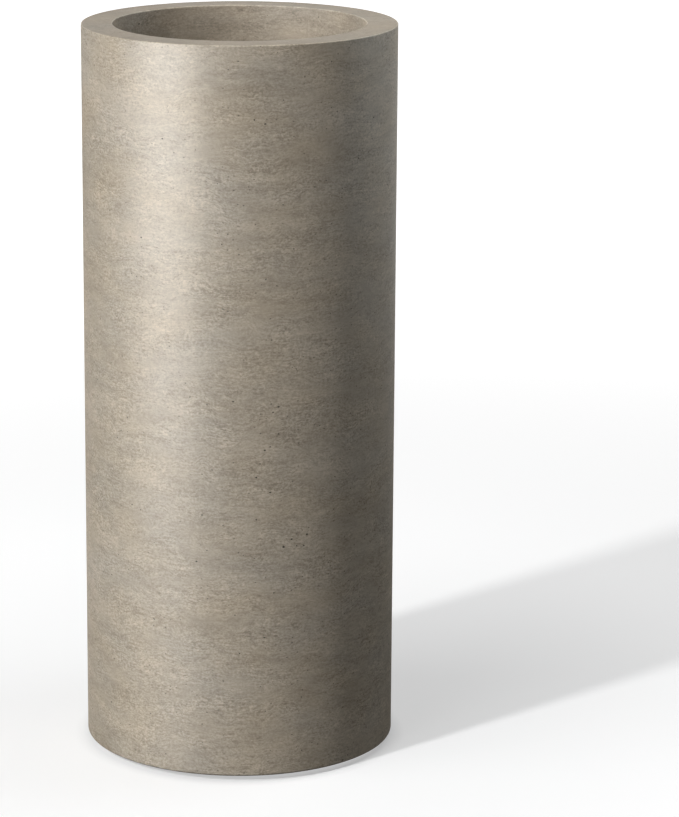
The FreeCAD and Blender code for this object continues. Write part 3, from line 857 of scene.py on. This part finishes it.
start_fresh()
bpy.ops.mesh.primitive_cylinder_add(vertices=shelf_sides, radius=shelf_radius, depth=shelf_thickness,
                                    location=(0, 0, shelf_high.z - shelf_thickness / 2))
shelf = edit("shelf_moulding")
choose(shelf, "FACE", faces_down)
bpy.ops.mesh.inset(thickness=shelf_radius - ring_outer)
bpy.ops.mesh.inset(thickness=ring_outer - ring_inner)
choose(shelf, "FACE", under_ring)
bpy.ops.mesh.extrude_region_move(TRANSFORM_OT_translate={"value": (0, 0, shelf_low.z - shelf_bottom)})
ease(shelf, [(shelf_radius, shelf_high.z)], shelf_edge, shelf_edge_steps)
ease(shelf, [(shelf_radius, shelf_bottom), (ring_outer, shelf_low.z), (ring_inner, shelf_low.z)], ring_edge)
ease(shelf, [(ring_outer, shelf_bottom), (ring_inner, shelf_bottom)], ring_fillet)
bpy.ops.object.mode_set(mode="OBJECT")
shelf.data.materials.append(moulded(
    "shelf_plastic", body=(0.028, 0.028, 0.030), scuffed=(0.10, 0.10, 0.10), grain=700, matt=0.46,
    depth=0.0005, strength=0.6, Specular_IOR_Level=0.45))
drain_drill = flared_drill(drain_hole_radius, drain_hole_edge, drain_hole_sides)
finger_drill = flared_drill(finger_hole_radius, shelf_edge, finger_hole_sides)
drills = []
for tool, circle, angles in ((drain_drill, outer_hole_circle, round_angles(outer_holes)),
                             (drain_drill, inner_hole_circle, round_angles(inner_holes)),
                             (finger_drill, finger_hole_circle, round_angles(finger_holes, math.pi / 2))):
    for angle in angles:
        one = copied(tool, "drill")
        one.location = round_place(circle, angle, 0)
        drills.append(one)
for tool in (drain_drill, finger_drill):
    bpy.data.objects.remove(tool)
carve(shelf, drills)
soften(shelf, degrees=35)
fit(shelf, "shelf", "shelf_plate")

# Four feet of black rubber hold the concrete just clear of the ground. Each is a disc with grip rings below
# and a barbed stem above, which is pushed into its socket in the ledge.
foot_radius = 0.018
foot_rounding = 0.0012
foot_top_edge = 0.0005
foot_sides = 64
grip_rings = (0.006, 0.0095, 0.013)
grip_width = 0.0015
grip_slope = 0.0003
grip_depth = 0.0008
barb_heights = (0.003, 0.007, 0.011)
barb_radius = stem_radius - 0.0005
barb_lip = 0.0002
barb_root = 0.0012
stem_chamfer = 0.001
outline = [(0, 0)]
for radius in grip_rings:
    outline += [(radius, 0), (radius + grip_slope, grip_depth),
                (radius + grip_width - grip_slope, grip_depth), (radius + grip_width, 0)]
outline += [(foot_radius, 0), (foot_radius, foot), (stem_radius, foot)]
for height in barb_heights:
    outline += [(stem_radius, foot + height), (barb_radius, foot + height + barb_lip),
                (barb_radius, foot + height + barb_root)]
outline += [(stem_radius, foot_top - stem_chamfer), (stem_radius - stem_chamfer, foot_top), (0, foot_top)]
first_foot = turned("foot_rubber_1", outline, foot_sides)
ease(first_foot, [(foot_radius, 0)], foot_rounding)
ease(first_foot, [(foot_radius, foot)], foot_top_edge)
bpy.ops.object.mode_set(mode="OBJECT")
first_foot.data.materials.append(black_rubber)
soften(first_foot, degrees=35)
feet = [first_foot]
for number in range(2, foot_count + 1):
    feet.append(copied(first_foot, f"foot_rubber_{number}"))
for number, (one, place) in enumerate(zip(feet, foot_places), 1):
    reopen(one)
    bpy.ops.transform.translate(value=(place.x, place.y, 0))
    bpy.ops.object.mode_set(mode="OBJECT")
    fit(one, "planter", f"foot_pad_{number}")

# The planter stands on a plain white studio floor that runs back past the picture's top edge. The floor keeps
# the planter's shadow, made deeper near the planter with painted shade, and further off it turns into a
# bright white sweep.
floor_size = 60
slit_start = outer_radius - 0.009
slit_end = outer_radius - 0.001
touch_end = outer_radius + 0.013
near_start = 0.1
near_end = 0.75
far_start = 0.8
far_end = 3.0
sweep_left = -0.6
sweep_right = 0.9
start_fresh()
bpy.ops.mesh.primitive_plane_add(size=floor_size, location=(0, 0, 0))
studio_floor = bpy.context.object
studio_floor.name = "studio_floor"
paper = bpy.data.materials.new("white_paper")
paper.use_nodes = True
tree = paper.node_tree
tree.nodes.clear()
rays = add(tree, "LightPath").outputs
distance = add(tree, "VectorMath", {0: object_place(tree)}, operation="LENGTH").outputs["Value"]
across = add(tree, "SeparateXYZ", {0: object_place(tree)}).outputs[0]
# Painted shade dims the glow near the planter. The gap under the planter gets painted light, and a painted
# contact shadow rings its foot.
painted_shade_fade = ramp(tree, distance, near_start, near_end, kind="SMOOTHSTEP")
far_off = ramp(tree, distance, far_start, far_end, kind="SMOOTHSTEP")
right_side = ramp(tree, across, sweep_left, sweep_right, kind="SMOOTHSTEP")
painted_gap_light = ramp(tree, distance, slit_start, slit_end, at_low=0.11, at_high=-0.03)
painted_contact_shadow = ramp(tree, distance, slit_end, touch_end, at_high=0.085)
glow_and_painted_shading = weigh(tree, (painted_shade_fade, 0.11), (far_off, 0.43), (painted_contact_shadow, 1.0), (painted_gap_light, 1.0), start=0.38)

# The camera sees the bright floor and other rays meet a dull one. Gloss shows a painted reflection: a darker
# copy of the floor with a glow that sweeps in far off to the right.
lit = add(tree, "BsdfDiffuse", {"Color": (0.56, 0.56, 0.56, 1)}).outputs[0]
lit_glow = add(tree, "Emission", {"Color": (1, 1, 1, 1), "Strength": glow_and_painted_shading}).outputs[0]
in_view = add(tree, "AddShader", {0: lit, 1: lit_glow}).outputs[0]
painted_reflection_glow = combine(tree, "MULTIPLY", far_off, right_side)
mirrored = add(tree, "BsdfDiffuse", {"Color": (0.2, 0.2, 0.2, 1)}).outputs[0]
mirrored_glow = add(tree, "Emission", {"Color": (1, 1, 1, 1), "Strength": painted_reflection_glow}).outputs[0]
in_gloss = add(tree, "AddShader", {0: mirrored, 1: mirrored_glow}).outputs[0]
matt = add(tree, "BsdfDiffuse", {"Color": (0.13, 0.13, 0.13, 1)}).outputs[0]
reflected = combine(tree, "MAXIMUM", rays["Is Glossy Ray"], rays["Is Transmission Ray"])
either = add(tree, "MixShader", {0: reflected, 1: matt, 2: in_gloss}).outputs[0]
either = add(tree, "MixShader", {0: rays["Is Camera Ray"], 1: either, 2: in_view}).outputs[0]
tree.links.new(either, add(tree, "OutputMaterial").inputs[0])
studio_floor.data.materials.append(paper)

# The light is a small key from the left front with a wide soft one beside it, and a weak cool fill from the
# right. Two cards, a large one on the left and a cool one on the right, only show in gloss. A pale room
# lights the rest.


def lamp(name, angle, height, distance, size, energy, tint=(1, 1, 1), gloss_only=False):
    """A round lamp that looks at the middle of the planter, from an angle and a height in degrees."""
    data = bpy.data.lights.new(name, "AREA")
    data.shape = "DISK"
    data.size = size
    data.energy = energy
    data.color = tint
    made = bpy.data.objects.new(name, data)
    scene.collection.objects.link(made)
    turn = math.radians(angle)
    rise = math.radians(height)
    made.location = round_place(distance * math.cos(rise), turn - math.pi / 2,
                                (rim_top + foot) / 2 + distance * math.sin(rise))
    made.rotation_euler = (math.pi / 2 - rise, 0, turn)
    made.visible_camera = False
    made.visible_diffuse = not gloss_only


lamp("key", angle=-47, height=35, distance=8.0, size=0.55, energy=430)
lamp("wide_key", angle=-54, height=40, distance=8.0, size=8.0, energy=295)
lamp("gloss_card", angle=-51.6, height=0, distance=2.06, size=1.66, energy=153, gloss_only=True)
lamp("cool_card", angle=104, height=22, distance=2.06, size=1.3, energy=19, tint=(0.6, 0.83, 1.0),
     gloss_only=True)
lamp("fill", angle=98, height=60, distance=1.25, size=0.61, energy=4.2, tint=(0.95, 0.98, 1.0))

world = bpy.data.worlds.new("pale_room")
scene.world = world
world.use_nodes = True
tree = world.node_tree
tree.nodes.clear()
rays = add(tree, "LightPath").outputs
white = add(tree, "Background", {"Color": (1, 1, 1, 1), "Strength": 1.0}).outputs[0]
room = add(tree, "Background", {"Color": (1, 1, 1, 1), "Strength": 0.125}).outputs[0]
shown = combine(tree, "MAXIMUM", rays["Is Glossy Ray"], rays["Is Transmission Ray"])
shown = combine(tree, "MAXIMUM", rays["Is Camera Ray"], shown)
either = add(tree, "MixShader", {0: shown, 1: room, 2: white}).outputs[0]
tree.links.new(either, add(tree, "OutputWorld").inputs[0])

# The camera stands in front of the planter, above its rim, and looks down on it through a long lens. Its
# shift sets the planter left of the picture's middle.
picture_width = 679
picture_height = 817
planter_column = 239.55
camera_distance = 3.3722
camera_rise = 0.4774
camera_tilt = math.radians(14.209)
camera_data = bpy.data.cameras.new("camera")
camera_data.lens = 157.9
camera_data.sensor_width = 36
camera_data.shift_x = (picture_width / 2 - planter_column) / picture_height
camera = bpy.data.objects.new("camera", camera_data)
camera.location = (0, -camera_distance, rim_top + camera_rise)
camera.rotation_euler = (math.pi / 2 - camera_tilt, 0, 0)
scene.collection.objects.link(camera)
scene.camera = camera
